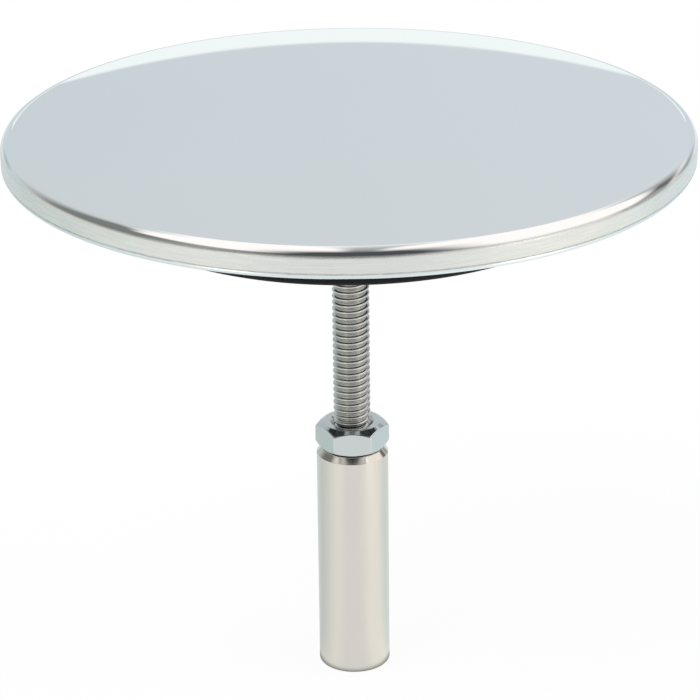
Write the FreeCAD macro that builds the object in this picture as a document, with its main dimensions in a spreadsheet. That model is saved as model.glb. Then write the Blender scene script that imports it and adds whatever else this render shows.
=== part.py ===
import FreeCAD, Part
import Sketcher
import math
import os
import re

# A bath drain stopper: a polished round cover crimped over a backing plate, a rubber seal on a
# moulded carrier under it, and an M4 rod that carries a lock nut and an adjusting sleeve.
# The axis is +Z, the origin is the centre of the sleeve's foot, and every length is in millimetres.

# Driving sizes: name, value, meaning.
SIZES = [
    ("overall_height", 60.6, "foot of the sleeve to the top of the cover"),
    ("cover_diameter", 70.0, "outside of the cover"),
    ("sheet_thickness", 0.5, "sheet that the cover is drawn from"),
    ("shoulder_bend", 0.5, "inside radius of the bend between the cover's top and rim"),
    ("curl_bend", 0.1, "inside radius of the bend between the cover's rim and lip"),
    ("lip_reach", 2.2, "width of the ring from the rim's outside to the lip's edge"),
    ("plate_thickness", 1.9, "backing plate inside the cover"),
    ("plate_gap", 0.1, "backing plate to the bend of the cover"),
    ("crimp_gap", 0.1, "backing plate to the cover's lip"),
    ("spigot_diameter", 8.0, "hub's spigot, riveted in the backing plate"),
    ("spigot_gap", 0.05, "hub's spigot to its hole"),
    ("hub_flange_diameter", 14.0, "hub's flange under the backing plate"),
    ("hub_flange_thickness", 1.4, "hub's flange under the backing plate"),
    ("hub_gap", 0.2, "hub's flange to its recess in the carrier"),
    ("rod_headroom", 0.8, "end of the rod to the inside of the cover"),
    ("carrier_thickness", 4.0, "moulded disc that holds the seal"),
    ("carrier_hole_gap", 0.25, "rod to its hole in the carrier and in the washer"),
    ("carrier_boss_margin", 2.0, "washer's edge to the edge of the carrier's boss"),
    ("carrier_wall", 1.4, "wall between the carrier's groove and its underside pocket"),
    ("carrier_pocket_depth", 1.5, "ring-shaped pocket in the carrier's underside"),
    ("groove_depth", 1.6, "carrier's groove for the seal's bead"),
    ("groove_height", 1.8, "carrier's groove for the seal's bead"),
    ("groove_floor", 1.1, "carrier's underside to its groove"),
    ("seal_diameter", 49.3, "lower edge of the seal"),
    ("seal_flare", 1.25, "upper edge of the seal to its lower edge, square to the axis"),
    ("seal_wall", 2.3, "upper edge of the seal to its inside, square to the axis"),
    ("seal_height", 5.15, "rubber seal"),
    ("seal_gap", 0.1, "seal to the carrier and to the backing plate"),
    ("seal_lip_width", 1.0, "flat ring at the seal's lower edge, with its rounding"),
    ("seal_lip_round", 0.3, "rounding of the seal's lower edge"),
    ("washer_diameter", 12.0, "flat washer under the carrier"),
    ("washer_thickness", 1.0, "flat washer under the carrier"),
    ("nut_flats", 6.75, "both nuts, across the flats"),
    ("nut_face_margin", 0.4, "nut's flats to the edge of its chamfered face"),
    ("nut_mouth_margin", 0.3, "widening of a nut's thread at its faces"),
    ("retaining_nut_thickness", 3.2, "nut that clamps the seal's carrier"),
    ("lock_nut_thickness", 2.9, "nut that locks the sleeve"),
    ("thread_diameter", 3.9, "crests of the rod's thread"),
    ("thread_pitch", 0.7, "rise of the thread in one turn"),
    ("thread_gap", 0.06, "clearance between the two threads, square to their flanks"),
    ("rod_end_chamfer", 0.4, "both ends of the rod"),
    ("rod_engagement", 11.0, "length of rod inside the sleeve"),
    ("sleeve_diameter", 7.55, "outside of the sleeve"),
    ("bore_depth", 20.0, "straight part of the sleeve's bore"),
    ("bore_gap", 0.08, "crests of the rod's thread to the sleeve's bore"),
    ("bore_mouth_margin", 0.4, "widening of the sleeve's bore at its mouth"),
    ("foot_thickness", 5.2, "closed end of the sleeve"),
    ("foot_round", 0.2, "rounded edge of the sleeve's foot"),
    ("sleeve_chamfer_width", 0.5, "chamfer at the top of the sleeve"),
    ("sleeve_chamfer_height", 0.6, "chamfer at the top of the sleeve"),
    ("crest_share", 0.125, "flat on the rod's crests, as a share of the pitch"),
    ("rod_depth_share", 0.6134, "depth of the rod's thread, as a share of the pitch"),
    ("tapped_depth_share", 0.5413, "depth of a tapped thread, as a share of the pitch"),
    ("overrun_share", 0.5, "run of a thread cut past the surface, as a share of the crest"),
    ("flank_angle", 30.0, "flank of the thread to a plane square to the axis, in degrees"),
    ("nut_chamfer_angle", 30.0, "chamfer of a nut to its face, in degrees"),
    ("drill_angle", 59.0, "half the point angle of the drill for the sleeve's bore, in degrees"),
]

# Sizes that follow from the driving ones: name, formula.
DERIVED = [
    ("cover_radius", "cover_diameter / 2"),
    ("lip_radius", "cover_radius - lip_reach"),
    ("rim_height", "2 * sheet_thickness + plate_thickness + crimp_gap"),
    ("shoulder_radius", "shoulder_bend + sheet_thickness"),
    ("curl_radius", "curl_bend + sheet_thickness"),
    ("rim_bottom", "overall_height - rim_height"),
    ("plate_radius", "cover_radius - shoulder_radius - plate_gap"),
    ("plate_bottom", "overall_height - sheet_thickness - plate_thickness"),
    ("spigot_radius", "spigot_diameter / 2"),
    ("hub_flange_radius", "hub_flange_diameter / 2"),
    ("hub_bottom", "plate_bottom - hub_flange_thickness"),
    ("hub_height", "hub_flange_thickness + plate_thickness"),
    ("thread_radius", "thread_diameter / 2"),
    ("hole_radius", "thread_radius + carrier_hole_gap"),
    ("washer_radius", "washer_diameter / 2"),
    ("seal_radius", "seal_diameter / 2"),
    ("seal_top_radius", "seal_radius - seal_flare"),
    ("carrier_radius", "seal_top_radius - seal_wall - seal_gap"),
    ("carrier_bottom", "plate_bottom - carrier_thickness"),
    ("carrier_recess", "carrier_thickness - hub_flange_thickness - seal_gap"),
    ("groove_radius", "carrier_radius - groove_depth"),
    ("boss_radius", "washer_radius + carrier_boss_margin"),
    ("pocket_radius", "groove_radius - carrier_wall"),
    ("seal_bottom", "plate_bottom - seal_gap - seal_height"),
    ("seal_overhang", "carrier_bottom - seal_bottom"),
    ("washer_bottom", "carrier_bottom - washer_thickness"),
    ("retaining_nut_bottom", "washer_bottom - retaining_nut_thickness"),
    ("nut_corner_radius", "nut_flats / 2 / cos(30)"),
    ("nut_face_radius", "nut_flats / 2 - nut_face_margin"),
    ("nut_chamfer_drop", "(nut_corner_radius - nut_face_radius) * tan(nut_chamfer_angle)"),
    ("sleeve_radius", "sleeve_diameter / 2"),
    ("sleeve_length", "foot_thickness + bore_depth"),
    ("bore_radius", "thread_radius + bore_gap"),
    ("drill_point", "bore_radius / tan(drill_angle)"),
    ("rod_bottom", "sleeve_length - rod_engagement"),
    ("rod_top", "overall_height - sheet_thickness - rod_headroom"),
    ("rod_length", "rod_top - rod_bottom"),
    ("crest_flat", "thread_pitch * crest_share"),
    ("crest_half", "crest_flat / 2"),
    ("half_pitch", "thread_pitch / 2"),
    ("rod_thread_depth", "thread_pitch * rod_depth_share"),
    ("rod_root_radius", "thread_radius - rod_thread_depth"),
    ("rod_root_half", "half_pitch - crest_half - rod_thread_depth * tan(flank_angle)"),
    ("thread_overrun", "crest_flat * overrun_share"),
    ("overrun_half", "thread_overrun * tan(flank_angle)"),
    ("tapped_radius", "thread_radius - thread_pitch * tapped_depth_share + thread_gap"),
    ("tapped_root_radius", "thread_radius + thread_gap"),
    ("tapped_flank_gap", "thread_gap / cos(flank_angle)"),
    ("tapped_root_half", "crest_half + tapped_flank_gap - thread_gap * tan(flank_angle)"),
    ("tapped_open_radius", "tapped_radius - thread_overrun"),
    ("tapped_open_half",
     "tapped_root_half + (tapped_root_radius - tapped_open_radius) * tan(flank_angle)"),
    ("tapped_mouth_radius", "tapped_root_radius + nut_mouth_margin"),
    ("nut_mouth_depth", "tapped_mouth_radius - tapped_radius"),
]

doc = FreeCAD.newDocument("DrainStopper")
sheet = doc.addObject("Spreadsheet::Sheet", "Sizes")


def fill_sheet():
    """Write each driving size as a plain number and each derived one as a formula, all with aliases."""
    for row, (name, number, meaning) in enumerate(SIZES, start=1):
        sheet.set(f"A{row}", meaning)
        sheet.set(f"B{row}", str(number))
        sheet.setAlias(f"B{row}", name)
    for row, (name, formula) in enumerate(DERIVED, start=1):
        sheet.set(f"D{row}", name.replace("_", " "))
        sheet.set(f"E{row}", f"={formula}")
        sheet.setAlias(f"E{row}", name)
    doc.recompute()


def amount(total):
    """The value of a sum of named sizes, such as "cover_radius - lip_reach"."""
    terms = re.findall(r"([+-]?)\s*([a-z_]+)", total)
    return sum(-sheet.get(name) if sign == "-" else sheet.get(name) for sign, name in terms)


def bound(total):
    """The same sum as an expression on the sheet."""
    return re.sub(r"([a-z_]+)", r"Sizes.\1", total)


def new_body(label, bottom=None):
    """A body with its own label, lifted to the height that its lower face has in the assembly."""
    body = doc.addObject("PartDesign::Body", label)
    body.Label = label
    if bottom:
        body.setExpression("Placement.Base.z", bound(bottom))
    return body


def new_sketch(body, name, role):
    """An empty sketch on one of the body's own origin planes."""
    plane = next(p for p in body.Origin.OriginFeatures if p.Role == role)
    sketch = body.newObject("Sketcher::SketchObject", f"{body.Name}_{name}")
    sketch.AttachmentSupport = [(plane, "")]
    sketch.MapMode = "FlatFace"
    return sketch


def fix(sketch, index, name, total):
    """Name a dimension of a sketch and bind it to a sum of sizes."""
    sketch.renameConstraint(index, name)
    sketch.setExpression(f"Constraints.{name}", bound(total))


def arc_between(start, end, radius, convex):
    """An arc of less than half a turn between two points of an outline that runs anticlockwise."""
    chord = end - start
    across = FreeCAD.Vector(-chord.y, chord.x, 0).normalize()
    reach = math.sqrt(max(radius**2 - (chord.Length / 2)**2, 0))
    centre = start + chord / 2 + across * (reach if convex else -reach)
    first, last = (start, end) if convex else (end, start)
    angles = [math.atan2(p.y - centre.y, p.x - centre.x) for p in (first, last)]
    return Part.ArcOfCircle(Part.Circle(centre, FreeCAD.Vector(0, 0, 1), radius), *angles)


def draw_outline(sketch, outline):
    """Draw a closed outline, anticlockwise, and bind every corner to the sheet.

    A corner is (across, up) with None for a place on an axis. A third entry, (radius, "convex") or
    (radius, "concave"), makes the stretch from that corner to the next one an arc.
    """
    places = [
        FreeCAD.Vector(amount(c[0]) if c[0] else 0, amount(c[1]) if c[1] else 0, 0) for c in outline
    ]
    starts, ends = [], []
    for i, corner in enumerate(outline):
        here, there = places[i], places[(i + 1) % len(places)]
        if len(corner) == 2:
            edge = sketch.addGeometry(Part.LineSegment(here, there))
            starts.append((edge, 1))
            ends.append((edge, 2))
            continue
        radius, side = corner[2]
        convex = side == "convex"
        edge = sketch.addGeometry(arc_between(here, there, amount(radius), convex))
        starts.append((edge, 1 if convex else 2))
        ends.append((edge, 2 if convex else 1))
        fix_radius(sketch, edge, radius)
    Constraint = Sketcher.Constraint
    for i, (across, up, *_) in enumerate(outline):
        sketch.addConstraint(Constraint("Coincident", *ends[i - 1], *starts[i]))
        for axis, kind, total in ((-2, "DistanceX", across), (-1, "DistanceY", up)):
            if total is None:
                sketch.addConstraint(Constraint("PointOnObject", *starts[i], axis))
                continue
            index = sketch.addConstraint(Constraint(kind, -1, 1, *starts[i], amount(total)))
            fix(sketch, index, f"{kind}{i}", total)


def fix_radius(sketch, edge, radius):
    """Bind an arc's radius to the sheet."""
    index = sketch.addConstraint(Sketcher.Constraint("Radius", edge, amount(radius)))
    fix(sketch, index, f"Radius{edge}", radius)


def turned(body, name, outline, kind="PartDesign::Revolution"):
    """Turn an outline in the XZ plane about the body's axis, adding or cutting a round form."""
    sketch = new_sketch(body, f"{name}Outline", "XZ_Plane")
    draw_outline(sketch, outline)
    feature = body.newObject(kind, f"{body.Name}_{name}")
    feature.Profile = sketch
    feature.ReferenceAxis = (sketch, ["V_Axis"])
    feature.Angle = 360
    doc.recompute()
    return feature


def cut_thread(body, outline, start, length):
    """Cut a right-hand helical groove whose section at the first turn is the outline."""
    sketch = new_sketch(body, "ThreadSection", "XZ_Plane")
    sketch.setExpression("AttachmentOffset.Base.y", start)
    draw_outline(sketch, outline)
    before = body.Shape.Volume
    helix = body.newObject("PartDesign::SubtractiveHelix", f"{body.Name}_Thread")
    helix.Profile = sketch
    helix.ReferenceAxis = (sketch, ["V_Axis"])
    helix.Mode = "pitch-height-angle"
    helix.LeftHanded = False
    helix.Reversed = False
    helix.setExpression("Pitch", bound("thread_pitch"))
    helix.setExpression("Height", length)
    doc.recompute()
    if not body.Shape.Volume < before:
        raise RuntimeError(f"{body.Label}: the thread cut took nothing away")


def tap(body, bottom, height):
    """Cut the inside thread that meshes with the rod's, wherever the piece stands on the rod."""
    pitch = bound("thread_pitch")
    phase = f"mod({bound(f'rod_bottom + half_pitch - {bottom}')}; {pitch})"
    section = [
        ("tapped_open_radius", "half_pitch - tapped_open_half"),
        ("tapped_root_radius", "half_pitch - tapped_root_half"),
        ("tapped_root_radius", "half_pitch + tapped_root_half"),
        ("tapped_open_radius", "half_pitch + tapped_open_half"),
    ]
    start = f"{phase} - 2 * {pitch} - {bound('half_pitch')}"
    cut_thread(body, section, start, f"{bound(height)} + 4 * {pitch}")


def make_cover_cap():
    """Polished cap: a flat top, a rounded shoulder, a short rim and a lip crimped inwards."""
    body = new_body("cover_cap", "rim_bottom")
    turned(body, "Sheet", [
        ("lip_radius", None),
        ("cover_radius - curl_radius", None, ("curl_radius", "convex")),
        ("cover_radius", "curl_radius"),
        ("cover_radius", "rim_height - shoulder_radius", ("shoulder_radius", "convex")),
        ("cover_radius - shoulder_radius", "rim_height"),
        (None, "rim_height"),
        (None, "rim_height - sheet_thickness"),
        ("cover_radius - shoulder_radius", "rim_height - sheet_thickness", ("shoulder_bend", "concave")),
        ("cover_radius - sheet_thickness", "rim_height - shoulder_radius"),
        ("cover_radius - sheet_thickness", "curl_radius", ("curl_bend", "concave")),
        ("cover_radius - curl_radius", "sheet_thickness"),
        ("lip_radius", "sheet_thickness"),
    ])
    return body


def make_backing_plate():
    """Flat steel disc that the cap is crimped over, with a hole for the hub."""
    body = new_body("backing_plate", "plate_bottom")
    turned(body, "Disc", [
        ("spigot_radius + spigot_gap", None),
        ("plate_radius", None),
        ("plate_radius", "plate_thickness"),
        ("spigot_radius + spigot_gap", "plate_thickness"),
    ])
    return body


def make_hub():
    """Tapped hub: a flange under the backing plate and a spigot riveted flush in it."""
    body = new_body("hub", "hub_bottom")
    turned(body, "Turning", [
        ("tapped_radius", None),
        ("hub_flange_radius", None),
        ("hub_flange_radius", "hub_flange_thickness"),
        ("spigot_radius", "hub_flange_thickness"),
        ("spigot_radius", "hub_height"),
        ("tapped_radius", "hub_height"),
    ])
    tap(body, "hub_bottom", "hub_height")
    return body


def make_seal_carrier():
    """Moulded disc with a groove for the seal's bead, a recess for the hub and a pocket below."""
    body = new_body("seal_carrier", "carrier_bottom")
    turned(body, "Moulding", [
        ("hole_radius", None),
        ("boss_radius", None),
        ("boss_radius", "carrier_pocket_depth"),
        ("pocket_radius", "carrier_pocket_depth"),
        ("pocket_radius", None),
        ("carrier_radius", None),
        ("carrier_radius", "groove_floor"),
        ("groove_radius", "groove_floor"),
        ("groove_radius", "groove_floor + groove_height"),
        ("carrier_radius", "groove_floor + groove_height"),
        ("carrier_radius", "carrier_thickness"),
        ("hub_flange_radius + hub_gap", "carrier_thickness"),
        ("hub_flange_radius + hub_gap", "carrier_recess"),
        ("hole_radius", "carrier_recess"),
    ])
    return body


def make_seal():
    """Rubber ring: a bead in the carrier's groove and a skirt that flares down to a rounded lip."""
    body = new_body("seal", "seal_bottom")
    turned(body, "Ring", [
        ("seal_radius - seal_lip_width", None),
        ("seal_radius - seal_lip_round", None, ("seal_lip_round", "convex")),
        ("seal_radius", "seal_lip_round"),
        ("seal_top_radius", "seal_height"),
        ("carrier_radius + seal_gap", "seal_height"),
        ("carrier_radius + seal_gap", "seal_overhang + groove_floor + groove_height - seal_gap"),
        ("groove_radius + seal_gap", "seal_overhang + groove_floor + groove_height - seal_gap"),
        ("groove_radius + seal_gap", "seal_overhang + groove_floor + seal_gap"),
        ("carrier_radius + seal_gap", "seal_overhang + groove_floor + seal_gap"),
        ("carrier_radius + seal_gap", "seal_overhang"),
    ])
    return body


def make_washer():
    """Flat washer between the carrier and its nut."""
    body = new_body("washer", "washer_bottom")
    turned(body, "Ring", [
        ("hole_radius", None),
        ("washer_radius", None),
        ("washer_radius", "washer_thickness"),
        ("hole_radius", "washer_thickness"),
    ])
    return body


def draw_hexagon(sketch):
    """A hexagon with one corner on the X axis, on a construction circle through its corners."""
    Constraint = Sketcher.Constraint
    radius = amount("nut_corner_radius")
    corners = [
        FreeCAD.Vector(radius * math.cos(math.pi / 3 * k), radius * math.sin(math.pi / 3 * k), 0)
        for k in range(6)
    ]
    sides = [sketch.addGeometry(Part.LineSegment(corners[k], corners[(k + 1) % 6])) for k in range(6)]
    circle = Part.Circle(FreeCAD.Vector(0, 0, 0), FreeCAD.Vector(0, 0, 1), radius)
    ring = sketch.addGeometry(circle, True)
    sketch.addConstraint(Constraint("Coincident", ring, 3, -1, 1))
    fix_radius(sketch, ring, "nut_corner_radius")
    for k in range(6):
        sketch.addConstraint(Constraint("Coincident", sides[k - 1], 2, sides[k], 1))
        sketch.addConstraint(Constraint("PointOnObject", sides[k], 1, ring))
    for k in range(1, 6):
        sketch.addConstraint(Constraint("Equal", sides[0], sides[k]))
    sketch.addConstraint(Constraint("PointOnObject", sides[0], 1, -1))


def make_nut(label, bottom, height):
    """Hexagon nut, chamfered at both faces, with a widened mouth at both ends of its thread."""
    body = new_body(label, bottom)
    sketch = new_sketch(body, "Hexagon", "XY_Plane")
    draw_hexagon(sketch)
    pad = body.newObject("PartDesign::Pad", f"{body.Name}_Blank")
    pad.Profile = sketch
    pad.setExpression("Length", bound(height))
    doc.recompute()
    cuts = {
        "LowerChamfer": [
            ("nut_face_radius", None),
            ("nut_corner_radius + thread_overrun", None),
            ("nut_corner_radius + thread_overrun", "nut_chamfer_drop"),
            ("nut_corner_radius", "nut_chamfer_drop"),
        ],
        "UpperChamfer": [
            ("nut_corner_radius", f"{height} - nut_chamfer_drop"),
            ("nut_corner_radius + thread_overrun", f"{height} - nut_chamfer_drop"),
            ("nut_corner_radius + thread_overrun", height),
            ("nut_face_radius", height),
        ],
        "Bore": [
            (None, None),
            ("tapped_mouth_radius", None),
            ("tapped_radius", "nut_mouth_depth"),
            ("tapped_radius", f"{height} - nut_mouth_depth"),
            ("tapped_mouth_radius", height),
            (None, height),
        ],
    }
    for name, outline in cuts.items():
        before = body.Shape.Volume
        turned(body, name, outline, "PartDesign::Groove")
        if not body.Shape.Volume < before:
            raise RuntimeError(f"{label}: {name} took nothing away")
    tap(body, bottom, height)
    return body


def make_threaded_rod():
    """Rod threaded over its whole length, chamfered at both ends."""
    body = new_body("threaded_rod", "rod_bottom")
    turned(body, "Bar", [
        (None, None),
        ("thread_radius - rod_end_chamfer", None),
        ("thread_radius", "rod_end_chamfer"),
        ("thread_radius", "rod_length - rod_end_chamfer"),
        ("thread_radius - rod_end_chamfer", "rod_length"),
        (None, "rod_length"),
    ])
    section = [
        ("rod_root_radius", "half_pitch - rod_root_half"),
        ("thread_radius + thread_overrun", "crest_half - overrun_half"),
        ("thread_radius + thread_overrun", "thread_pitch - crest_half + overrun_half"),
        ("rod_root_radius", "half_pitch + rod_root_half"),
    ]
    pitch = bound("thread_pitch")
    start = f"-{pitch} - {bound('half_pitch')}"
    cut_thread(body, section, start, f"{bound('rod_length')} + 2 * {pitch}")
    return body


def make_sleeve():
    """Adjusting sleeve: a round foot with a blind bore for the rod and a chamfered top."""
    body = new_body("adjusting_sleeve")
    turned(body, "Turning", [
        (None, None),
        ("sleeve_radius - foot_round", None, ("foot_round", "convex")),
        ("sleeve_radius", "foot_round"),
        ("sleeve_radius", "sleeve_length - sleeve_chamfer_height"),
        ("sleeve_radius - sleeve_chamfer_width", "sleeve_length"),
        ("bore_radius + bore_mouth_margin", "sleeve_length"),
        ("bore_radius", "sleeve_length - bore_mouth_margin"),
        ("bore_radius", "foot_thickness"),
        (None, "foot_thickness - drill_point"),
    ])
    return body


def write_parts(bodies):
    """Check every object and every solid, then write one file for each sub-part."""
    doc.recompute()
    failed = [o.Name for o in doc.Objects if {"Invalid", "Error"} & set(o.State)]
    if failed:
        raise RuntimeError(f"failed objects: {failed}")
    for body in bodies:
        if body.Shape.isNull() or not body.Shape.isValid() or len(body.Shape.Solids) != 1:
            raise RuntimeError(f"{body.Label} is not one valid solid")
    os.makedirs("parts", exist_ok=True)
    for body in bodies:
        body.Shape.exportStep(f"parts/{body.Label}.step")


fill_sheet()
write_parts([
    make_cover_cap(),
    make_backing_plate(),
    make_hub(),
    make_seal_carrier(),
    make_seal(),
    make_washer(),
    make_nut("retaining_nut", "retaining_nut_bottom", "retaining_nut_thickness"),
    make_threaded_rod(),
    make_nut("lock_nut", "sleeve_length", "lock_nut_thickness"),
    make_sleeve(),
])
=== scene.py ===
import math

import bmesh
import bpy
from mathutils import Matrix, Vector


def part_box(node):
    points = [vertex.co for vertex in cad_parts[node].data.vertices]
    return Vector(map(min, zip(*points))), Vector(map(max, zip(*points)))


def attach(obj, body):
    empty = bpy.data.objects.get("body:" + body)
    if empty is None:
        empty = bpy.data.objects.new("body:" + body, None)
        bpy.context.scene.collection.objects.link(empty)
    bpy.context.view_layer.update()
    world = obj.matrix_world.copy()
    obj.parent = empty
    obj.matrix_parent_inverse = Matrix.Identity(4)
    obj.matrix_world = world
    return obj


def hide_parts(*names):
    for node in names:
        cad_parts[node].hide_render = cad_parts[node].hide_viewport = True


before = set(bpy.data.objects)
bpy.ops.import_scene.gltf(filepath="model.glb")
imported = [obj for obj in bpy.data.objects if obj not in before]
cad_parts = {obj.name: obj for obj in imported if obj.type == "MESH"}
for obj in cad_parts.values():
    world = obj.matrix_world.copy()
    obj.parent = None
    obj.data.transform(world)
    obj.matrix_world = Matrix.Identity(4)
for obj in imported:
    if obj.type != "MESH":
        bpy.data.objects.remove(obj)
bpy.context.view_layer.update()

# The drain stopper's visual model, its floor, and the studio that its polished metal mirrors.
# Lengths are in millimetres and become metres where an object is made.

MM = 0.001
DEGREES = 180 / math.pi
X, Y, Z = range(3)


def low(node, axis):
    """Lowest coordinate of a CAD node."""
    return round(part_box(node)[0][axis] / MM, 4)


def high(node, axis):
    """Highest coordinate of a CAD node."""
    return round(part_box(node)[1][axis] / MM, 4)


# Sizes from the CAD nodes in model.glb
TOP = high("cover_cap", Z)
COVER_R = high("cover_cap", X)
RIM_BOTTOM = low("cover_cap", Z)
SHEET = TOP - high("backing_plate", Z)
CARRIER_R = high("seal_carrier", X)
CARRIER_BOTTOM = low("seal_carrier", Z)
SEAL_R = high("seal", X)
SEAL_TOP = high("seal", Z)
SEAL_BOTTOM = low("seal", Z)
WASHER_R = high("washer", X)
WASHER_TOP = high("washer", Z)
WASHER_BOTTOM = low("washer", Z)
SLEEVE_R = high("adjusting_sleeve", X)
SLEEVE_TOP = high("adjusting_sleeve", Z)
ROD_R = high("threaded_rod", X)
ROD_BOTTOM = low("threaded_rod", Z)
ROD_TOP = high("threaded_rod", Z)
NUT_FLATS = 2 * high("lock_nut", Y)

# Sizes that the nodes' boxes don't show
SHOULDER = 1.1
CURL = 0.6
LIP_REACH = 2.2
SEAL_IN_R = CARRIER_R + 0.1
SEAL_FLARE = 1.25
SEAL_LIP = 1.0
BEAD_DEPTH = 1.6
BEAD_BOTTOM = CARRIER_BOTTOM + 1.2
BEAD_TOP = CARRIER_BOTTOM + 2.8
WASHER_HOLE_R = ROD_R + 0.25
FOOT = 5.2
FOOT_ROUND = 0.2
BORE_R = ROD_R + 0.08
BORE_MOUTH = 0.4
DRILL_HALF_ANGLE = math.radians(59)
CHAMFER_WIDTH = 0.5
CHAMFER_HEIGHT = 0.6
THREAD_PITCH = 0.7
CREST_POWER = 2.1
ROD_DEPTH = 0.4294
ROD_END_CHAMFER = 0.4
TAPPED_R = 1.6311
TAPPED_GAP = 0.06
NUT_FACE_R = NUT_FLATS / 2 - 0.4
NUT_MOUTH_R = ROD_R + TAPPED_GAP + 0.3
NUT_CORNER_ROUND = 0.15
NUT_CHAMFER_SLOPE = math.tan(math.radians(30))
SUPPORT_LENGTH = 0.06
SUPPORT_SHARE = 0.3
ON_AXIS = 1e-6
SAME_POINT = 1e-8


# Shapes

def fillet_path(corners, steps):
    """Points of an open outline. A corner is (r, z) or (r, z, radius) for a rounded one.

    Each rounding gets a support point a little way along both of its straight runs, so that smooth
    shading keeps the runs flat.
    """
    path = []
    for i, corner in enumerate(corners):
        here = Vector(corner[:2])
        if len(corner) == 2 or i in (0, len(corners) - 1):
            path.append(here)
            continue
        radius = corner[2]
        back = (Vector(corners[i - 1][:2]) - here).normalized()
        ahead = (Vector(corners[i + 1][:2]) - here).normalized()
        half = math.acos(max(-1.0, min(1.0, back.dot(ahead)))) / 2
        run = radius / math.tan(half)
        centre = here + (back + ahead).normalized() * (radius / math.sin(half))
        first, last = here + back * run, here + ahead * run
        start = math.atan2(first.y - centre.y, first.x - centre.x)
        end = math.atan2(last.y - centre.y, last.x - centre.x)
        sweep = (end - start + math.pi) % (2 * math.pi) - math.pi
        support = min(SUPPORT_LENGTH, radius * SUPPORT_SHARE)
        path.append(first + back * support)
        for k in range(steps + 1):
            a = start + sweep * k / steps
            path.append(centre + Vector((math.cos(a), math.sin(a))) * radius)
        path.append(last + ahead * support)
    return path


def mesh_object(name, verts, faces, body, nodes, slot, material):
    """A smooth mesh that rides on a body and stands for CAD nodes."""
    mesh = bpy.data.meshes.new(name)
    mesh.from_pydata([tuple(c * MM for c in v) for v in verts], [], faces)
    mesh.validate()
    mesh.shade_smooth()
    obj = bpy.data.objects.new(name, mesh)
    bpy.context.scene.collection.objects.link(obj)
    mesh.materials.append(material)
    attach(obj, body)
    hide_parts(*nodes)
    return obj


def turned(path, segments):
    """Points and faces of an outline turned about the axis.

    An end on the axis becomes a pole. An outline with no such end closes into a ring.
    """
    on_axis = [p.x < ON_AXIS for p in path]
    rings = [p for p, axis in zip(path, on_axis) if not axis]
    verts = []
    for p in rings:
        for k in range(segments):
            a = 2 * math.pi * k / segments
            verts.append((p.x * math.cos(a), p.x * math.sin(a), p.y))
    faces = []
    for i in range(len(rings) - 1 if any(on_axis) else len(rings)):
        a, b = i * segments, (i + 1) % len(rings) * segments
        for k in range(segments):
            n = (k + 1) % segments
            faces.append((a + k, a + n, b + n, b + k))
    for end, ring in ((0, 0), (-1, len(rings) - 1)):
        if not on_axis[end]:
            continue
        pole = len(verts)
        verts.append((0, 0, path[end].y))
        for k in range(segments):
            a, b = ring * segments + k, ring * segments + (k + 1) % segments
            faces.append((pole, b, a) if end == 0 else (pole, a, b))
    return verts, faces


def make_cover(material):
    """The drawn cover, its lip turned in under the backing plate."""
    inside_r, lip_r, lip_top = COVER_R - SHEET, COVER_R - LIP_REACH, RIM_BOTTOM + SHEET
    lower_edge, upper_edge = 0.18, 0.12
    path = fillet_path([
        (0.0, TOP),
        (COVER_R, TOP, SHOULDER),
        (COVER_R, RIM_BOTTOM, CURL),
        (lip_r, RIM_BOTTOM, lower_edge),
        (lip_r, lip_top, upper_edge),
        (inside_r, lip_top, CURL - SHEET),
        (inside_r, TOP - SHEET, SHOULDER - SHEET),
        (0.0, TOP - SHEET),
    ], steps=14)
    shell = turned(path, segments=360)
    mesh_object("cover_shell", *shell, "plug", ["cover_cap"], "polished_cover", material)


def make_seal(material):
    """The rubber ring, with the bead that sits in the carrier's groove."""
    bead_r = SEAL_IN_R - BEAD_DEPTH
    moulded, inner_top, inner_foot, at_groove = 0.3, 0.25, 0.2, 0.08
    on_slope = (SEAL_R - 2.25, SEAL_BOTTOM + 0.6)
    path = fillet_path([
        on_slope,
        (SEAL_R - SEAL_LIP, SEAL_BOTTOM, moulded),
        (SEAL_R, SEAL_BOTTOM, moulded),
        (SEAL_R - SEAL_FLARE, SEAL_TOP, moulded),
        (SEAL_IN_R, SEAL_TOP, inner_top),
        (SEAL_IN_R, BEAD_TOP, at_groove),
        (bead_r, BEAD_TOP, moulded),
        (bead_r, BEAD_BOTTOM, moulded),
        (SEAL_IN_R, BEAD_BOTTOM, at_groove),
        (SEAL_IN_R, CARRIER_BOTTOM, inner_foot),
        on_slope,
    ], steps=6)[:-1]
    ring = turned(path, segments=240)
    mesh_object("seal_ring", *ring, "plug", ["seal"], "seal_rubber", material)


def make_washer(material):
    """The flat washer, its punched edges softened."""
    outer_edge, hole_edge = 0.12, 0.08
    on_underside = (WASHER_R - 2.0, WASHER_BOTTOM)
    path = fillet_path([
        on_underside,
        (WASHER_R, WASHER_BOTTOM, outer_edge),
        (WASHER_R, WASHER_TOP, outer_edge),
        (WASHER_HOLE_R, WASHER_TOP, hole_edge),
        (WASHER_HOLE_R, WASHER_BOTTOM, hole_edge),
        on_underside,
    ], steps=4)[:-1]
    flat = turned(path, segments=96)
    mesh_object("washer_flat", *flat, "plug", ["washer"], "plated_steel", material)


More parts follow.
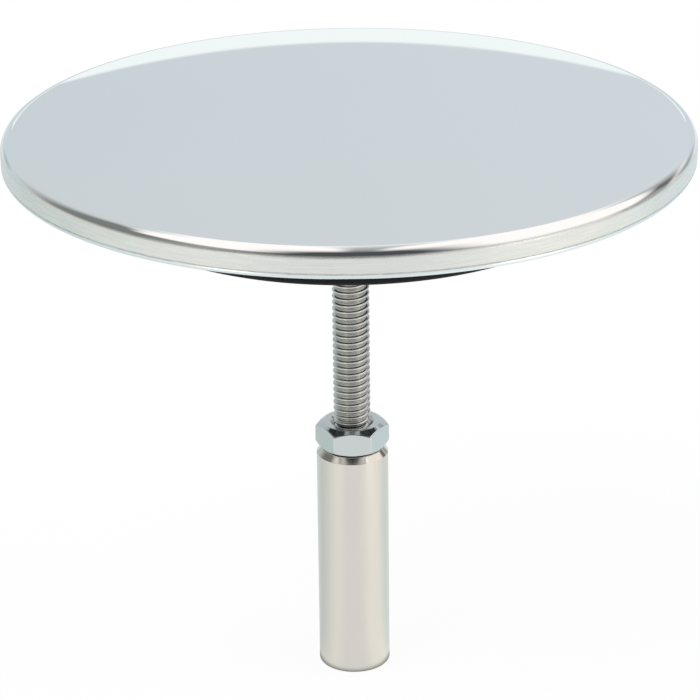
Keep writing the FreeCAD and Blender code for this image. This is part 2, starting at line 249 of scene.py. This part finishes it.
def make_sleeve(material):
    """The adjusting sleeve with its blind, drilled bore."""
    chamfer_edge, top_edge, bore_end = 0.06, 0.08, 0.2
    path = fillet_path([
        (0.0, 0.0),
        (SLEEVE_R, 0.0, FOOT_ROUND),
        (SLEEVE_R, SLEEVE_TOP - CHAMFER_HEIGHT, chamfer_edge),
        (SLEEVE_R - CHAMFER_WIDTH, SLEEVE_TOP, top_edge),
        (BORE_R + BORE_MOUTH, SLEEVE_TOP, top_edge),
        (BORE_R, SLEEVE_TOP - BORE_MOUTH, top_edge),
        (BORE_R, FOOT, bore_end),
        (0.0, FOOT - BORE_R / math.tan(DRILL_HALF_ANGLE)),
    ], steps=8)
    sleeve = turned(path, segments=192)
    mesh_object("sleeve_turned", *sleeve, "sleeve", ["adjusting_sleeve"], "sleeve_nickel", material)


def thread_radius(angle, z):
    """Outside of the right-hand thread that the rod and its nuts share: rolled, with round crests."""
    phase = (z - ROD_BOTTOM) / THREAD_PITCH - angle / (2 * math.pi)
    off_crest = 1 - 2 * abs(phase - round(phase))
    return ROD_R - ROD_DEPTH * off_crest**CREST_POWER


def make_rod(material):
    """The threaded rod with chamfered ends, its rows of points along the helix."""
    segments, per_turn = 56, 18
    rows = int((ROD_TOP - ROD_BOTTOM) / THREAD_PITCH * per_turn) + per_turn + 2
    verts = []
    for i in range(rows):
        for k in range(segments):
            a = 2 * math.pi * k / segments
            z = ROD_BOTTOM + THREAD_PITCH * (i / per_turn + k / segments - 1)
            z = min(max(z, ROD_BOTTOM), ROD_TOP)
            from_end = min(z - ROD_BOTTOM, ROD_TOP - z)
            r = min(thread_radius(a, z), ROD_R - ROD_END_CHAMFER + from_end)
            verts.append((r * math.cos(a), r * math.sin(a), z))
    faces = []
    for i in range(rows - 1):
        for k in range(segments):
            n, lift = (k + 1) % segments, per_turn if k + 1 == segments else 0
            if i + 1 + lift >= rows:
                continue
            here, above = i * segments, (i + 1) * segments
            shift = lift * segments
            faces.append((here + k, here + shift + n, above + shift + n, above + k))
    rod = ("threaded_rod_turned", verts, faces, "plug", ["threaded_rod"], "rod_steel", material)
    close_ends(mesh_object(*rod))


def close_ends(obj):
    """Merge the points that were held at the rod's ends and cap both ends."""
    bm = bmesh.new()
    bm.from_mesh(obj.data)
    bmesh.ops.remove_doubles(bm, verts=bm.verts[:], dist=SAME_POINT)
    bmesh.ops.dissolve_degenerate(bm, dist=SAME_POINT, edges=bm.edges[:])
    loose = [v for v in bm.verts if not v.link_faces]
    bmesh.ops.delete(bm, geom=loose, context="VERTS")
    open_edges = [e for e in bm.edges if e.is_boundary]
    bmesh.ops.holes_fill(bm, edges=open_edges, sides=0)
    bmesh.ops.recalc_face_normals(bm, faces=bm.faces[:])
    for f in bm.faces:
        f.smooth = True
    bm.to_mesh(obj.data)
    bm.free()


def hexagon_radius(angle):
    """Distance from the axis to a nut's hexagon with rounded corners, one of them on +X."""
    sixth = math.pi / 3
    off = (angle + sixth / 2) % sixth - sixth / 2
    centre = (NUT_FLATS - 2 * NUT_CORNER_ROUND) / math.sqrt(3)
    flat_end = math.atan2(NUT_CORNER_ROUND / 2, centre + NUT_CORNER_ROUND * math.cos(math.pi / 6))
    if abs(off) < flat_end:
        return centre * math.cos(off) + math.sqrt(NUT_CORNER_ROUND**2 - (centre * math.sin(off))**2)
    return NUT_FLATS / 2 / math.cos(sixth / 2 - abs(off))


def nut_angles():
    """Angles around a nut, close together at its corners."""
    from_corner = (0, 0.015, 0.03, 0.045, 0.06, 0.08, 0.105, 0.16, 0.24, 0.32, 0.40, 0.48)
    corners = [k * math.pi / 3 for k in range(6)]
    return sorted({corner + side * a for corner in corners for a in from_corner for side in (1, -1)})


def nut_column(angle, bottom, height):
    """Closed outline of a nut at one angle: chamfered faces, softened edges, and the rod's thread."""
    mouth_depth, mouth_edge, face_edge = 0.35, 0.05, 0.09
    flat_edge, corner_edge, corner_rise_share = 0.07, 0.32, 0.15
    least_drop, least_width = 0.02, 0.03
    outer = hexagon_radius(angle)
    drop = max(least_drop, (outer - NUT_FACE_R) * NUT_CHAMFER_SLOPE)
    cornering = min(1.0, (2 * outer / NUT_FLATS - 1) / corner_rise_share)
    upper = fillet_path([
        (NUT_MOUTH_R - mouth_depth, height - mouth_depth),
        (NUT_MOUTH_R, height, mouth_edge),
        (min(NUT_FACE_R, outer - least_width), height, face_edge),
        (outer, height - drop, flat_edge + corner_edge * cornering),
        (outer, height / 2),
    ], steps=4)
    column = upper + [Vector((p.x, height - p.y)) for p in reversed(upper[:-1])]
    per_turn = 12
    rows = int(height / THREAD_PITCH * per_turn)
    for j in range(1, rows):
        z = mouth_depth + (height - 2 * mouth_depth) * j / rows
        mouth = NUT_MOUTH_R - min(z, height - z)
        groove = thread_radius(angle, bottom + z) + TAPPED_GAP
        column.append(Vector((max(TAPPED_R, groove, mouth), z)))
    return column


def make_nut(node, body, slot, material):
    """A hexagon nut whose thread meshes with the rod's."""
    bottom = low(node, Z)
    height = high(node, Z) - bottom
    verts, faces = [], []
    angles = nut_angles()
    for i, a in enumerate(angles):
        column = nut_column(a, bottom, height)
        count = len(column)
        verts += [(p.x * math.cos(a), p.x * math.sin(a), bottom + p.y) for p in column]
        here, beside = i * count, (i + 1) % len(angles) * count
        for k in range(count):
            n = (k + 1) % count
            faces.append((here + k, here + n, beside + n, beside + k))
    mesh_object(node + "_hex", verts, faces, body, [node], slot, material)


# Node trees

class Nodes:
    """A short way to write a node tree. A value is a number, a colour or another node's output."""

    def __init__(self, tree):
        self.tree = tree
        tree.nodes.clear()

    def add(self, kind, **values):
        """A node; in_Name sets its input of that name, and other words set its properties."""
        node = self.tree.nodes.new(kind)
        for key, value in values.items():
            if key.startswith("in_"):
                node.inputs[key[3:].replace("_", " ")].default_value = value
            else:
                setattr(node, key, value)
        return node

    def put(self, value, socket):
        """Give a socket its value."""
        if isinstance(value, tuple):
            socket.default_value = (*value, 1.0)
        elif isinstance(value, (int, float)):
            socket.default_value = value
        else:
            self.tree.links.new(value, socket)

    def math(self, operation, *values):
        node = self.add("ShaderNodeMath", operation=operation)
        for value, socket in zip(values, node.inputs):
            self.put(value, socket)
        return node.outputs[0]

    def product(self, first, *others):
        for other in others:
            first = self.math("MULTIPLY", first, other)
        return first

    def vector(self, *values):
        node = self.add("ShaderNodeCombineXYZ")
        for value, socket in zip(values, node.inputs):
            self.put(value, socket)
        return node.outputs[0]

    def ramp(self, value, start, end, out_start, out_end, smooth=True):
        """A number that goes from out_start to out_end as the value goes from start to end."""
        kind = "SMOOTHSTEP" if smooth else "LINEAR"
        node = self.add("ShaderNodeMapRange", interpolation_type=kind)
        for number, socket in zip((value, start, end, out_start, out_end), node.inputs):
            self.put(number, socket)
        return node.outputs[0]

    def band(self, value, start, end, soft):
        """1 between start and end, with soft edges inside them, and 0 elsewhere."""
        rising = self.ramp(value, start, start + soft, 0.0, 1.0)
        return self.product(rising, self.ramp(value, end - soft, end, 1.0, 0.0))

    def mix(self, share, a, b):
        """A colour between two."""
        node = self.add("ShaderNodeMix", data_type="RGBA")
        for value, socket in zip((share, a, b), (node.inputs["Factor"], node.inputs[6], node.inputs[7])):
            self.put(value, socket)
        return node.outputs[2]

    def blend(self, share, a, b):
        """A number between two."""
        node = self.add("ShaderNodeMix", data_type="FLOAT")
        for value, socket in zip((share, a, b), (node.inputs["Factor"], node.inputs[2], node.inputs[3])):
            self.put(value, socket)
        return node.outputs[0]

    def scale(self, value, start, end, stops):
        """A colour read off a scale of (place, colour) stops between start and end."""
        node = self.add("ShaderNodeValToRGB")
        self.put(self.ramp(value, start, end, 0.0, 1.0, False), node.inputs[0])
        marks = node.color_ramp.elements
        while len(marks) < len(stops):
            marks.new(0.5)
        for mark, (place, colour) in zip(marks, stops):
            mark.position = (place - start) / (end - start)
            mark.color = (*colour, 1.0)
        return node.outputs[0]

    def shader_mix(self, share, a, b):
        node = self.add("ShaderNodeMixShader")
        for value, socket in zip((share, a, b), node.inputs):
            self.put(value, socket)
        return node.outputs[0]


class MaterialNodes(Nodes):
    """A material with the object's own coordinates at hand, in millimetres and about the axis."""

    def __init__(self, name):
        self.material = bpy.data.materials.new(name)
        self.material.use_nodes = True
        super().__init__(self.material.node_tree)
        coords = self.add("ShaderNodeTexCoord")
        apart = self.add("ShaderNodeSeparateXYZ")
        self.put(coords.outputs["Object"], apart.inputs[0])
        self.x, self.y, self.z = (self.math("MULTIPLY", c, 1 / MM) for c in apart.outputs)
        self.point = self.vector(self.x, self.y, self.z)
        self.angle = self.math("ARCTAN2", self.y, self.x)
        squares = self.math("ADD", self.product(self.x, self.x), self.product(self.y, self.y))
        self.across = self.math("SQRT", squares)

    def noise(self, vector, scale, detail=3.0, roughness=0.55):
        node = self.add("ShaderNodeTexNoise", in_Scale=scale, in_Detail=detail, in_Roughness=roughness)
        self.put(vector, node.inputs["Vector"])
        return node.outputs["Fac"]

    def stretched_noise(self, a, a_scale, b, b_scale, layer, detail=3.0, roughness=0.55):
        """Noise with a scale of its own along each of two coordinates."""
        place = self.vector(self.product(a, a_scale), self.product(b, b_scale), layer)
        return self.noise(place, 1.0, detail, roughness)

    def bump(self, height, strength, distance):
        node = self.add("ShaderNodeBump", in_Strength=strength, in_Distance=distance)
        self.put(height, node.inputs["Height"])
        return node.outputs["Normal"]

    def finish(self, shader):
        """The material, with this shader on its surface."""
        out = self.add("ShaderNodeOutputMaterial")
        self.put(shader, out.inputs[0])
        return self.material

    def surface(self, colour, roughness, metallic, normal=None, **more):
        shader = self.add("ShaderNodeBsdfPrincipled", in_Metallic=metallic, **more)
        self.put(colour, shader.inputs["Base Color"])
        self.put(roughness, shader.inputs["Roughness"])
        if normal is not None:
            self.put(normal, shader.inputs["Normal"])
        return self.finish(shader.outputs[0])


# Materials

def polished_cover():
    """Mirror-polished sheet: a clean top, a satin rim brushed along its length, a faint trim line and
    a bright curl.
    """
    n = MaterialNodes("polished_cover")
    along = n.product(n.angle, COVER_R)
    brushed = n.stretched_noise(along, 0.22, n.z, 5.0, layer=0.0, detail=4.0, roughness=0.6)
    grain = n.stretched_noise(along, 1.1, n.z, 9.0, layer=4.0, roughness=0.6)
    blotch = n.stretched_noise(along, 0.35, n.z, 0.6, layer=9.0, roughness=0.6)

    trim, curl_top = TOP - 2.40, TOP - 2.52
    outside = n.ramp(n.across, COVER_R - 0.9, COVER_R - 0.5, 0.0, 1.0)
    below_shoulder = n.ramp(n.z, TOP - 0.70, TOP - 0.46, 1.0, 0.0)
    satin = n.product(below_shoulder, n.ramp(n.z, curl_top, trim, 0.0, 1.0), outside)
    curl = n.product(n.ramp(n.z, curl_top, trim, 1.0, 0.0), outside)
    wander = n.product(n.math("SUBTRACT", blotch, 0.5), 0.16)
    off_line = n.math("ABSOLUTE", n.math("SUBTRACT", n.z, n.math("ADD", wander, trim)))
    depth = n.ramp(grain, 0.35, 0.65, 0.30, 0.65)
    line = n.product(n.ramp(off_line, 0.02, 0.14, 1.0, 0.0), depth, outside)

    streaks = n.math("ADD", n.product(brushed, 0.7), n.product(grain, 0.3))
    tint = n.mix(n.ramp(streaks, 0.3, 0.7, 0.0, 1.0), (0.71, 0.725, 0.70), (0.83, 0.835, 0.81))
    colour = n.mix(curl, (0.90, 0.925, 0.925), (0.77, 0.82, 0.85))
    colour = n.mix(satin, colour, tint)
    colour = n.mix(line, colour, (0.22, 0.225, 0.215))

    broad = n.noise(n.vector(n.x, n.y, 0.0), scale=0.12, detail=2.0)
    mirror = n.ramp(broad, 0.3, 0.7, 0.005, 0.011)
    matt = n.math("MAXIMUM", satin, n.product(curl, 0.6))
    rough = n.blend(matt, mirror, n.ramp(grain, 0.3, 0.7, 0.22, 0.32))
    marks = n.product(n.math("ADD", grain, brushed), satin)
    bump = n.bump(marks, strength=0.10, distance=0.04 * MM)
    return n.surface(colour, rough, metallic=1.0, normal=bump)


def plated_steel():
    """Zinc-plated steel with a faint cloudy sheen and rolling marks."""
    n = MaterialNodes("plated_steel")
    cloud = n.noise(n.point, scale=0.22, detail=4.0, roughness=0.6)
    roll = n.stretched_noise(n.x, 0.15, n.y, 9.0, layer=n.z)
    colour = n.mix(cloud, (0.55, 0.56, 0.58), (0.70, 0.71, 0.71))
    rough = n.ramp(roll, 0.3, 0.7, 0.30, 0.42)
    bump = n.bump(roll, strength=0.12, distance=0.04 * MM)
    return n.surface(colour, rough, metallic=1.0, normal=bump)


def turned_metal(name, dark, light, smooth, rough, marks, strength):
    """Turned metal: fine tool marks around the axis and a slight drift of tone."""
    n = MaterialNodes(name)
    ring = n.stretched_noise(n.z, marks, n.across, marks, layer=0.0, detail=4.0, roughness=0.6)
    colour = n.mix(n.noise(n.point, scale=0.35), dark, light)
    bump = n.bump(ring, strength, distance=0.03 * MM)
    return n.surface(colour, n.ramp(ring, 0.3, 0.7, smooth, rough), metallic=1.0, normal=bump)


def rolled_steel():
    """Bright rolled thread, its grooves coloured darker and browner than its crests."""
    n = MaterialNodes("rod_steel")
    fine = n.stretched_noise(n.angle, 2.0, n.z, 9.0, layer=n.across)
    # The thread's grooves are coloured darker and browner than its crests.
    darker_groove = n.ramp(n.across, ROD_R - 0.43, ROD_R - 0.33, 0.9, 0.0)
    crest = n.mix(n.noise(n.point, scale=0.5), (0.55, 0.55, 0.53), (0.64, 0.635, 0.615))
    colour = n.mix(darker_groove, crest, (0.46, 0.44, 0.405))
    bump = n.bump(fine, strength=0.03, distance=0.02 * MM)
    return n.surface(colour, n.ramp(fine, 0.3, 0.7, 0.13, 0.19), metallic=1.0, normal=bump)


def satin_sleeve():
    """Satin nickel on the sleeve, polished by the tool on its top chamfer."""
    n = MaterialNodes("sleeve_nickel")
    drift = n.noise(n.vector(n.x, n.y, n.product(n.z, 0.2)), scale=0.6)
    marks = n.stretched_noise(n.z, 16.0, n.across, 16.0, layer=0.0)
    chamfer_bottom = SLEEVE_TOP - CHAMFER_HEIGHT
    chamfer = n.ramp(n.z, chamfer_bottom - 0.06, chamfer_bottom + 0.02, 0.0, 1.0)
    colour = n.mix(drift, (0.72, 0.685, 0.63), (0.76, 0.725, 0.67))
    satin = n.ramp(marks, 0.3, 0.7, 0.20, 0.22)
    bright = n.ramp(marks, 0.3, 0.7, 0.08, 0.12)
    return n.surface(colour, n.blend(chamfer, satin, bright), metallic=1.0)


def carrier_plastic():
    """Black moulded plastic with a fine spark-eroded texture."""
    n = MaterialNodes("carrier_plastic")
    fine = n.noise(n.point, scale=6.0, roughness=0.6)
    broad = n.noise(n.point, scale=0.4, detail=2.0)
    colour = n.mix(broad, (0.020, 0.020, 0.021), (0.032, 0.032, 0.033))
    bump = n.bump(fine, strength=0.2, distance=0.05 * MM)
    return n.surface(colour, n.ramp(fine, 0.3, 0.7, 0.45, 0.62), metallic=0.0, normal=bump)


def seal_rubber():
    """Matt black rubber with a dusty bloom in places."""
    n = MaterialNodes("seal_rubber")
    bloom = n.stretched_noise(n.angle, 6.0, n.z, 1.0, layer=n.across, detail=4.0, roughness=0.6)
    fine = n.noise(n.point, scale=4.0)
    colour = n.mix(bloom, (0.005, 0.005, 0.006), (0.012, 0.0125, 0.014))
    rough = n.ramp(fine, 0.3, 0.7, 0.5, 0.65)
    bump = n.bump(fine, strength=0.15, distance=0.05 * MM)
    return n.surface(colour, rough, metallic=0.0, normal=bump, in_Specular_IOR_Level=0.25)


# Pieces

zinc = plated_steel()
bright_nickel = turned_metal(
    "nut_nickel", dark=(0.605, 0.65, 0.645), light=(0.655, 0.69, 0.685), smooth=0.08, rough=0.14,
    marks=9.0, strength=0.02)
brass = turned_metal(
    "hub_brass", dark=(0.62, 0.47, 0.22), light=(0.74, 0.58, 0.30), smooth=0.22, rough=0.34,
    marks=5.0, strength=0.2)

make_cover(polished_cover())
make_seal(seal_rubber())
make_washer(zinc)
make_sleeve(satin_sleeve())
make_rod(rolled_steel())
make_nut("lock_nut", "lock_nut", "nut_nickel", bright_nickel)
make_nut("retaining_nut", "plug", "plated_steel", zinc)

for node, material in (("backing_plate", zinc), ("hub", brass), ("seal_carrier", carrier_plastic())):
    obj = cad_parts[node]
    obj.data.materials.clear()
    obj.data.materials.append(material)


# Stage, light and camera

def floor_white():
    """White to the camera with a soft shadow; polished metal sees painted light and shade in it.

    Painted tones go around the object by turn, as the studio's light does, with two glowing lanes beside
    the camera and a painted shadow at the sleeve's foot.
    """
    n = MaterialNodes("floor_white")
    turn = n.product(n.math("ARCTAN2", n.x, n.y), DEGREES)
    grey, left_light, left_dark = (0.85, 0.86, 0.865), (0.925, 0.935, 0.91), (0.63, 0.705, 0.695)
    back, back_right, right_light = (0.75, 0.82, 0.85), (0.765, 0.845, 0.865), (0.99, 0.995, 0.96)
    # Painted light and shade: the floor that metal mirrors is lighter on the right and darker on the left
    # and behind.
    tone = n.scale(turn, -180.0, 180.0, [
        (-180, grey), (-160, grey), (-130, left_light), (-67, left_dark), (0, back), (64, back_right),
        (98, right_light), (130, right_light), (160, grey), (180, grey),
    ])
    beyond = n.ramp(n.across, 66.0, 76.0, 0.0, 1.0)
    within = n.ramp(n.across, 110.0, 130.0, 1.0, 0.0)
    # Painted light: two lanes of the floor glow brighter than white in what the metal mirrors.
    for start, end, light in ((108.0, 140.0, (1.8, 1.75, 1.68)), (-158.0, -130.0, (1.5, 1.47, 1.38))):
        glowing_lane = n.product(n.band(turn, start, end, soft=10.0), beyond, within)
        tone = n.mix(glowing_lane, tone, light)
    # Painted shadow: a dark ring round the sleeve's foot, seen only in what the metal mirrors.
    painted_foot_shadow = n.ramp(n.across, SLEEVE_R + 0.1, SLEEVE_R + 1.2, 0.75, 0.0)
    tone = n.mix(painted_foot_shadow, tone, (0.10, 0.12, 0.11))

    path = n.add("ShaderNodeLightPath").outputs
    white = n.add("ShaderNodeEmission", in_Color=(1.0, 1.0, 1.0, 1.0), in_Strength=1.0)
    mirrored = n.add("ShaderNodeEmission", in_Strength=1.06)
    n.put(tone, mirrored.inputs[0])
    glow = n.shader_mix(path["Is Glossy Ray"], white.outputs[0], mirrored.outputs[0])
    seen = n.math("MAXIMUM", path["Is Camera Ray"], path["Is Glossy Ray"])
    seen = n.math("MAXIMUM", seen, path["Is Transmission Ray"])
    diffuse = n.add("ShaderNodeBsdfDiffuse", in_Color=(0.92, 0.92, 0.92, 1.0))
    return n.finish(n.shader_mix(n.product(seen, 0.94), diffuse.outputs[0], glow))


def make_floor():
    """A plain floor, just under the sleeve's foot."""
    reach, drop = 3000 * MM, 0.02 * MM
    corners = [(-reach, -reach, 0), (reach, -reach, 0), (reach, reach, 0), (-reach, reach, 0)]
    mesh = bpy.data.meshes.new("floor")
    mesh.from_pydata(corners, [], [(0, 1, 2, 3)])
    mesh.materials.append(floor_white())
    floor = bpy.data.objects.new("floor", mesh)
    floor.location.z = -drop
    bpy.context.scene.collection.objects.link(floor)


class Studio(Nodes):
    """The room that polished metal mirrors, painted on the world one thing over another.

    Turn is the direction about the axis in degrees: 0 is behind the object, 90 on its right and 180 on the
    camera's side. Rise is the angle over the level. Where nothing is painted, the room is white.
    """

    def __init__(self, tree):
        super().__init__(tree)
        coords = self.add("ShaderNodeTexCoord")
        apart = self.add("ShaderNodeSeparateXYZ")
        self.put(coords.outputs["Generated"], apart.inputs[0])
        x, self.y, z = apart.outputs
        self.rise = self.product(self.math("ARCSINE", z), DEGREES)
        self.turn = self.product(self.math("ARCTAN2", x, self.y), DEGREES)
        self.aside = self.math("ABSOLUTE", self.turn)
        self.off_axis = self.math("ABSOLUTE", self.math("SUBTRACT", x, 0.04))
        self.above_level = self.ramp(self.rise, 1.0, 12.0, 0.2, 1.0)
        white_room = (1.12, 1.05, 1.03)
        self.tone = white_room

    def paint(self, share, colour):
        self.tone = self.mix(share, self.tone, colour)

    def under(self, edge, *soft):
        """1 where the rise is under an edge."""
        return self.ramp(self.math("SUBTRACT", self.rise, edge), *soft, 1.0, 0.0)

    def overhead_strip(self):
        """A grey strip above the object, from the back to the camera."""
        share = self.product(
            self.ramp(self.off_axis, 0.02, 0.09, 1.0, 0.0), self.ramp(self.rise, 30.0, 45.0, 0.0, 1.0))
        upwards = self.ramp(self.rise, 45.0, 82.0, 0.0, 1.0)
        self.paint(share, self.mix(upwards, (0.70, 0.72, 0.72), (0.42, 0.43, 0.43)))

    def back_card(self):
        """The grey card behind the object that the cover's top shows; its upper edge dips in the middle."""
        edge = self.ramp(self.turn, -30.0, -6.0, 55.5, 36.0, False)
        edge = self.math("SUBTRACT", edge, self.ramp(self.turn, -6.0, 4.0, 0.0, 8.0))
        edge = self.math("ADD", edge, self.product(self.math("MAXIMUM", self.turn, 0.0), 0.42))
        left_end = self.ramp(self.turn, -75.0, -45.0, 0.0, 1.0)
        right_end = self.ramp(self.turn, 30.0, 46.0, 1.0, 0.0)
        level = self.ramp(self.rise, 16.5, 22.5, 0.0, 1.0, False)
        left = self.mix(level, (0.620, 0.685, 0.720), (0.645, 0.682, 0.697))
        right = self.mix(level, (0.665, 0.715, 0.765), (0.695, 0.715, 0.742))
        grey = self.mix(self.ramp(self.turn, -7.0, 7.0, 0.0, 1.0, False), left, right)
        self.paint(self.product(self.under(edge, -4.0, 5.0), left_end, right_end), grey)

    def left_wall(self):
        """The dark wall on the left. Its share is kept for the haze beside it."""
        edge = self.ramp(self.turn, -100.0, -72.0, 41.0, 52.0)
        end = self.ramp(self.turn, -71.0, -35.0, 1.0, 0.0)
        self.wall = self.product(self.under(edge, -4.0, 5.0), end, self.above_level)
        backwards = self.ramp(self.turn, -130.0, -104.0, 0.0, 1.0)
        tone = self.mix(backwards, (0.36, 0.37, 0.36), (0.21, 0.22, 0.21))
        tone = self.mix(self.ramp(self.rise, 4.0, 22.0, 1.0, 0.0), tone, (0.50, 0.52, 0.51))
        self.paint(self.wall, tone)

    def right_stand(self):
        """A dark slanted stand on the right and the low grey wall behind it."""
        slant = self.math("ADD", self.rise, self.product(self.turn, 0.58))
        off_stand = self.math("ABSOLUTE", self.math("SUBTRACT", slant, 51.0))
        ends = self.product(
            self.ramp(self.turn, 18.0, 54.0, 0.0, 1.0), self.ramp(self.turn, 64.0, 92.0, 1.0, 0.0))
        self.paint(self.product(self.ramp(off_stand, 3.0, 15.0, 1.0, 0.0), ends), (0.14, 0.145, 0.145))
        ends = self.product(
            self.ramp(self.turn, 54.0, 64.0, 0.0, 1.0), self.ramp(self.turn, 82.0, 94.0, 1.0, 0.0))
        self.paint(self.product(ends, self.ramp(self.rise, 12.0, 24.0, 1.0, 0.0)), (0.40, 0.42, 0.42))

    def low_things(self):
        """Two dim round things low behind the object."""
        for turn, width, height, grey in ((-34.0, 9.0, 9.0, 0.50), (42.0, 18.0, 12.0, 0.40)):
            across = self.math("DIVIDE", self.math("SUBTRACT", self.turn, turn), width)
            up = self.math("DIVIDE", self.math("SUBTRACT", self.rise, 6.0), height)
            squares = self.math("ADD", self.product(across, across), self.product(up, up))
            share = self.ramp(self.math("SQRT", squares), 0.2, 1.0, 1.0, 0.0)
            self.paint(share, (grey, grey * 1.04, grey * 1.03))

    def haze(self):
        """Grey on both sides of the camera, so that the cover's top shows on white from behind too."""
        right_edge = self.ramp(self.turn, 115.0, 155.0, 21.0, 36.0)
        edge = self.math("MAXIMUM", right_edge, self.ramp(self.turn, -60.0, -40.0, 42.0, 0.0))
        beside = self.ramp(self.aside, 86.0, 102.0, 0.0, 1.0)
        no_wall = self.math("SUBTRACT", 1.0, self.wall)
        rightwards = self.ramp(self.turn, -10.0, 10.0, 0.0, 1.0)
        tone = self.mix(rightwards, (0.42, 0.435, 0.43), (0.74, 0.76, 0.76))
        self.paint(self.product(self.under(edge, -5.0, 5.0), beside, self.above_level, no_wall), tone)

    def dark_camera(self):
        """The dark camera's side, widest in the middle and narrower towards the top."""
        width = self.math("SUBTRACT", 0.70, self.product(self.rise, 0.0075))
        width = self.math("MAXIMUM", width, 0.05)
        width = self.math("MINIMUM", width, self.ramp(self.rise, 4.0, 30.0, 0.18, 0.50))
        share = self.ramp(self.math("SUBTRACT", self.off_axis, width), -0.10, 0.20, 1.0, 0.0)
        front = self.ramp(self.y, -0.12, 0.06, 1.0, 0.0)
        fading = self.ramp(self.rise, 60.0, 84.0, 1.0, 0.3)
        tone = self.mix(self.ramp(self.rise, 6.0, 38.0, 0.0, 1.0), (0.42, 0.42, 0.42), (0.075, 0.08, 0.085))
        self.paint(self.product(share, front, fading, self.above_level), tone)

    def low_windows(self):
        """A low window on each side of the camera, which lights the thread's crests."""
        for start, end, light in ((106.0, 142.0, (1.7, 1.65, 1.57)), (-160.0, -128.0, (1.4, 1.37, 1.27))):
            low_part = self.ramp(self.rise, 6.5, 9.0, 1.0, 0.0)
            self.paint(self.product(self.band(self.turn, start, end, soft=12.0), low_part), light)

    def white_horizon(self):
        """A white horizon, grey at its foot, that shows as an arc along the far edge of the cover's top."""
        edge = self.math("ADD", self.product(self.turn, self.turn, 0.0192), 16.97)
        edge = self.math("MINIMUM", edge, self.ramp(self.aside, 8.0, 14.0, 17.9, 13.0))
        ends = self.ramp(self.aside, 19.0, 28.0, 1.0, 0.0)
        tone = self.mix(self.ramp(self.rise, 14.4, 15.9, 0.0, 1.0), (0.66, 0.70, 0.73), (0.95, 1.0, 0.995))
        self.paint(self.product(self.under(edge, -0.03, 0.03), ends), tone)


def make_world():
    """White to the camera, soft even light on the object, and the studio in what is polished."""
    world = bpy.data.worlds.new("studio")
    bpy.context.scene.world = world
    world.use_nodes = True
    n = Studio(world.node_tree)
    n.overhead_strip()
    n.back_card()
    n.left_wall()
    n.right_stand()
    n.low_things()
    n.haze()
    n.dark_camera()
    n.low_windows()
    n.white_horizon()

    path = n.add("ShaderNodeLightPath").outputs
    mirrored = n.add("ShaderNodeBackground", in_Strength=1.0)
    n.put(n.tone, mirrored.inputs[0])
    even = n.add("ShaderNodeBackground", in_Color=(1.0, 1.0, 1.0, 1.0), in_Strength=0.55)
    white = n.add("ShaderNodeBackground", in_Color=(1.0, 1.0, 1.0, 1.0), in_Strength=1.0)
    around = n.shader_mix(path["Is Glossy Ray"], even.outputs[0], mirrored.outputs[0])
    out = n.add("ShaderNodeOutputWorld")
    n.put(n.shader_mix(path["Is Camera Ray"], around, white.outputs[0]), out.inputs[0])


def area_light(name, place, size, power):
    """A square softbox, in metres, that points at the middle of the object; metal doesn't mirror it."""
    aim = Vector((0, 0, 30 * MM))
    lamp = bpy.data.lights.new(name, "AREA")
    lamp.shape = "SQUARE"
    lamp.size = size
    lamp.energy = power
    obj = bpy.data.objects.new(name, lamp)
    obj.location = place
    obj.rotation_mode = "QUATERNION"
    obj.rotation_quaternion = (aim - Vector(place)).to_track_quat("-Z", "Y")
    obj.visible_glossy = False
    bpy.context.scene.collection.objects.link(obj)


def make_camera():
    """The camera of the photograph, from a fit to the cover's and the sleeve's outlines."""
    back, over_top = 283.30, 95.20
    down, yaw, roll = 0.39987, -0.00047, -0.0117
    data = bpy.data.cameras.new("camera")
    data.sensor_width = 36.0
    data.lens = 152.15
    data.clip_start, data.clip_end = 0.01, 20.0
    level = math.cos(down)
    ahead = Vector((math.sin(yaw) * level, math.cos(yaw) * level, -math.sin(down)))
    right = ahead.cross(Vector((0, 0, 1))).normalized()
    above = right.cross(ahead)
    side = math.cos(roll) * right + math.sin(roll) * above
    up = -math.sin(roll) * right + math.cos(roll) * above
    place = Matrix((side, up, -ahead)).transposed().to_4x4()
    place.translation = Vector((0.0, -back * MM, (TOP + over_top) * MM))
    camera = bpy.data.objects.new("camera", data)
    camera.matrix_world = place
    bpy.context.scene.collection.objects.link(camera)
    bpy.context.scene.camera = camera


make_floor()
make_world()
area_light("key", place=(-0.35, -0.25, 0.75), size=0.5, power=4.0)
area_light("fill", place=(0.5, -0.1, 0.6), size=0.6, power=2.5)
make_camera()
bpy.context.scene.view_settings.view_transform = "Standard"
